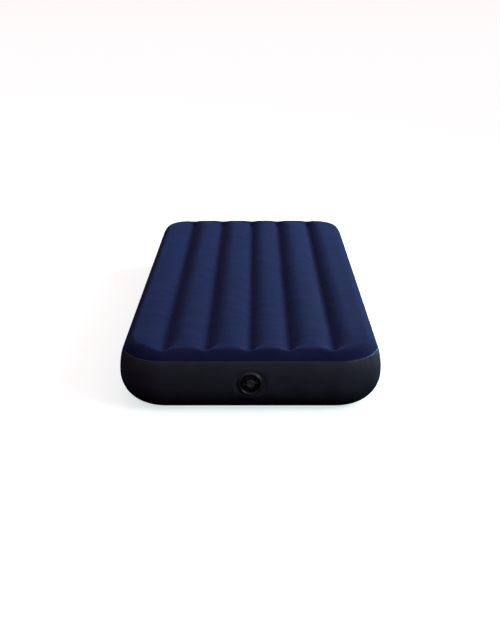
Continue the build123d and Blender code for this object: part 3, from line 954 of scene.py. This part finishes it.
def bumped(tree, surface, layers):
    """Bumps on a shader from (height, strength, distance) layers."""
    normal = None
    for height, strength, distance in layers:
        bump = add(tree, "ShaderNodeBump", Strength=strength, Distance=distance)
        tree.links.new(height, bump.inputs["Height"])
        if normal is not None:
            tree.links.new(normal, bump.inputs["Normal"])
        normal = bump.outputs["Normal"]
    tree.links.new(normal, surface.inputs["Normal"])


def flock():
    """Short navy velvet: a soft sheen, brushed patches, and a fine pile."""
    material, tree, surface = shader("navy_flock", (0.022, 0.030, 0.098), 0.92, 0.05)
    surface.inputs["Sheen Weight"].default_value = 0.08
    surface.inputs["Sheen Roughness"].default_value = 0.5
    surface.inputs["Sheen Tint"].default_value = (0.20, 0.40, 1.0, 1)
    brushed = noise(tree, 9.0, 4.0, 0.6, (1.0, 2.6, 1.0))
    share = remapped(tree, brushed, 0.3, 0.7, 0.0, 1.0)
    colour = mixed(tree, share, (0.0080, 0.0098, 0.0435), (0.0125, 0.0152, 0.0625))
    tree.links.new(colour, surface.inputs["Base Color"])
    pile = noise(tree, 1400.0, 2.0, 0.6)
    soft = noise(tree, 160.0, 3.0, 0.6, (1.0, 1.6, 1.0))
    bumped(tree, surface, [(soft, 0.25, 0.0016), (pile, 0.5, 0.0006)])
    return material


def film(name, dark, light, roughness, grain=900.0):
    """Satin film with a faint emboss, and a sheen that wanders a little."""
    material, tree, surface = shader(name, dark, roughness, 0.3)
    surface.inputs["Specular Tint"].default_value = (0.78, 0.82, 1.0, 1)
    wander = noise(tree, 14.0, 3.0, 0.55)
    share = remapped(tree, wander, 0.3, 0.7, 0, 1)
    tree.links.new(mixed(tree, share, dark, light), surface.inputs["Base Color"])
    rough = remapped(tree, wander, 0.3, 0.7, roughness - 0.05, roughness + 0.06)
    tree.links.new(rough, surface.inputs["Roughness"])
    emboss = noise(tree, grain, 2.0, 0.5)
    ripple = noise(tree, 38.0, 2.0, 0.5)
    bumped(tree, surface, [(ripple, 0.18, 0.002), (emboss, 0.16, 0.0004)])
    return material


def moulded(name, dark, light, roughness, specular=0.5):
    """Moulded plastic or rubber: an even satin with a fine spark grain."""
    material, tree, surface = shader(name, dark, roughness, specular)
    wander = noise(tree, 90.0, 3.0, 0.6)
    share = remapped(tree, wander, 0.3, 0.7, 0, 1)
    tree.links.new(mixed(tree, share, dark, light), surface.inputs["Base Color"])
    rough = remapped(tree, wander, 0.3, 0.7, roughness - 0.04, roughness + 0.05)
    tree.links.new(rough, surface.inputs["Roughness"])
    grain = noise(tree, 2600.0, 2.0, 0.5)
    bumped(tree, surface, [(grain, 0.15, 0.0002)])
    return material


def fibre():
    """Drawn threads that run up the curtain."""
    material, tree, surface = shader("fibre", (0.5, 0.5, 0.47), 0.7, 0.4)
    threads = noise(tree, 60.0, 2.0, 0.5, (20.0, 20.0, 0.4))
    share = remapped(tree, threads, 0.35, 0.65, 0, 1)
    tree.links.new(mixed(tree, share, (0.36, 0.36, 0.34), (0.62, 0.62, 0.59)), surface.inputs["Base Color"])
    bumped(tree, surface, [(threads, 0.5, 0.001)])
    return material


def floor_material():
    """The pale floor, which glows a little so that it comes out white."""
    material, _, surface = shader("pale_floor", (0.8, 0.8, 0.8), 0.9, 0.0)
    surface.inputs["Emission Color"].default_value = FLOOR_TINT
    surface.inputs["Emission Strength"].default_value = FLOOR_GLOW
    return material


NAVY_FLOCK = flock()
BLACK_FILM = film("black_film", (0.0210, 0.0230, 0.0350), (0.0250, 0.0270, 0.0415), 0.5)
# The bottom sheet's film is a darker copy of the wall's black film: its extra darkness is painted shade
# under the mattress, and its coarser emboss is its own.
UNDER_FILM_PAINTED_SHADE = film("under_film_painted_shade", (0.0100, 0.0105, 0.0140), (0.0135, 0.0140, 0.0185), 0.5, 500.0)
WELD_STRIP = film("weld_strip", (0.025, 0.025, 0.030), (0.035, 0.035, 0.041), 0.5)
FIBRE = fibre()
SOFT_BLACK = moulded("soft_black", (0.013, 0.013, 0.015), (0.018, 0.018, 0.020), 0.40)
MOULDED_BLACK = moulded("moulded_black", (0.0035, 0.0035, 0.0038), (0.0055, 0.0055, 0.0058), 0.34)
CAP_BLACK = moulded("cap_black", (0.034, 0.034, 0.036), (0.042, 0.042, 0.044), 0.36)
SEAL_RUBBER = moulded("seal_rubber", (0.018, 0.018, 0.018), (0.024, 0.024, 0.024), 0.55)
FLAP_RUBBER = moulded("flap_rubber", (0.045, 0.045, 0.045), (0.06, 0.06, 0.06), 0.5)

CAD_MATERIALS = {
    "top_weld_strip": WELD_STRIP,
    "bottom_weld_strip": WELD_STRIP,
    "fibre_curtain": FIBRE,
    "stopper_seal": SEAL_RUBBER,
    "check_flap": FLAP_RUBBER,
    "flap_anchor": FLAP_RUBBER,
}


def dress_cad_nodes():
    """Gives each CAD node that is still shown its material."""
    for name, node in frame["nodes"].items():
        for start, material in CAD_MATERIALS.items():
            if name.startswith(start):
                node.data.materials.clear()
                node.data.materials.append(material)


# The pieces


def chamber():
    """The three sheets."""
    cover = top_cover(NAVY_FLOCK)
    band = side_wall(BLACK_FILM)
    under = under_cover(UNDER_FILM_PAINTED_SHADE)
    for piece, node, slot in (
        (cover, "top_sheet", "navy_flock"),
        (band, "side_wall", "black_film"),
        (under, "bottom_sheet", "black_film"),
    ):
        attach(piece, "mattress")
        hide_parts(node)


def valve():
    """The valve's pieces."""
    valve_piece(
        "weld_flange", turned(flange_section(), 144), SOFT_BLACK, "mattress", ["valve_flange"]
    )
    valve_piece(
        "valve_cup", turned(body_section(), 128), MOULDED_BLACK, "mattress", ["valve_body"]
    )
    valve_piece(
        "anchor_stud",
        stud_piece(ANCHOR_RADIUS, ANCHOR_ANGLE, 4.6, 7.4, 1.3, 2.3),
        MOULDED_BLACK,
        "mattress",
        ["leash_anchor"],
    )
    valve_piece(
        "stopper_plug",
        turned(stopper_section(), 144),
        MOULDED_BLACK,
        "stopper",
        ["deflation_stopper"],
    )
    valve_piece("cap_button", cap_piece(), CAP_BLACK, "cap", ["inflation_cap"])
    valve_piece("strap_band", strap_piece(), SOFT_BLACK, "stopper", ["cap_strap"])
    valve_piece(
        "strap_button",
        stud_piece(STRAP_RADIUS, STRAP_END_ANGLE, STOPPER_FACE, 0.5, 1.6, 2.5),
        CAP_BLACK,
        "stopper",
        ["strap_stud"],
    )
    web = valve_piece("hinge_web", web_piece(), SOFT_BLACK, None)
    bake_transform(web)
    leash = valve_piece("leash_band", leash_piece(), SOFT_BLACK, None, ["stopper_leash"])
    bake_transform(leash)


# The floor, the light and the camera


def bowl():
    """Points and faces of a wide floor that curves up into a wall all round."""
    section = [(0, 0), (20, 0), (30, 0)]
    section += [(30 + 10 * math.sin(a), 10 - 10 * math.cos(a)) for a in np.linspace(0.1, math.pi / 2, 12)]
    section += [(40, 30)]
    ring = np.array(section[1:])
    angles = np.linspace(0, 2 * math.pi, 64, endpoint=False)
    x = np.cos(angles)[:, None] * ring[:, 0]
    y = np.sin(angles)[:, None] * ring[:, 0]
    points = np.stack([x, y, np.broadcast_to(ring[:, 1], x.shape)], -1).reshape(-1, 3)
    quads = grid_faces(64, len(ring)).tolist()
    count = len(ring)
    quads += [[63 * count + i, i, i + 1, 63 * count + i + 1][::-1] for i in range(count - 1)]
    middle = [[i * count for i in range(64)]]
    return points, quads + middle


def sky(world):
    """Light that is strongest straight above and fades to nothing below level."""
    world.use_nodes = True
    tree = world.node_tree
    background = tree.nodes["Background"]
    background.inputs["Color"].default_value = SKY_COLOUR
    place = tree.nodes.new("ShaderNodeTexCoord")
    split = tree.nodes.new("ShaderNodeSeparateXYZ")
    tree.links.new(place.outputs["Generated"], split.inputs["Vector"])
    strength = remapped(tree, split.outputs["Z"], -0.05, 0.9, 0, SKY_TOP)
    tree.links.new(strength, background.inputs["Strength"])


def stage():
    """A plain pale floor and soft light, mostly from the right and above."""
    points, faces = bowl()
    floor = mesh_object("floor", points, faces, floor_material())
    floor.visible_diffuse = False
    floor.visible_glossy = False
    world = bpy.data.worlds.new("studio")
    bpy.context.scene.world = world
    sky(world)
    softbox("key", KEY_PLACE, KEY_POWER, KEY_COLOUR)
    softbox("fill", FILL_PLACE, FILL_POWER, FILL_COLOUR)


def softbox(name, place, power, colour):
    """A rectangular area light that points at the mattress."""
    light = bpy.data.lights.new(name, "AREA")
    light.shape = "RECTANGLE"
    light.size, light.size_y = SOFTBOX_SIZE
    light.energy = power
    light.color = colour
    light_object = bpy.data.objects.new(name, light)
    light_object.location = place
    aim = Vector(LIGHT_TARGET) - Vector(place)
    light_object.rotation_euler = aim.to_track_quat("-Z", "Y").to_euler()
    bpy.context.scene.collection.objects.link(light_object)


def camera():
    """A 50 mm lens about 4 m away, 21 degrees above level, in front of the valve."""
    elevation = 0.3725
    distance = 4.074
    lens = bpy.data.cameras.new("camera")
    lens.lens = 50
    lens.sensor_width = 36
    lens.shift_x = -0.0089
    lens.shift_y = 0.0126
    made = bpy.data.objects.new("camera", lens)
    made.location = (0.019, -distance * math.cos(elevation), distance * math.sin(elevation))
    made.rotation_euler = (math.pi / 2 - elevation, 0, 0)
    bpy.context.scene.collection.objects.link(made)
    bpy.context.scene.camera = made


camera()
chamber()
valve()
dress_cad_nodes()
stage()
bpy.context.scene.view_settings.view_transform = "Standard"
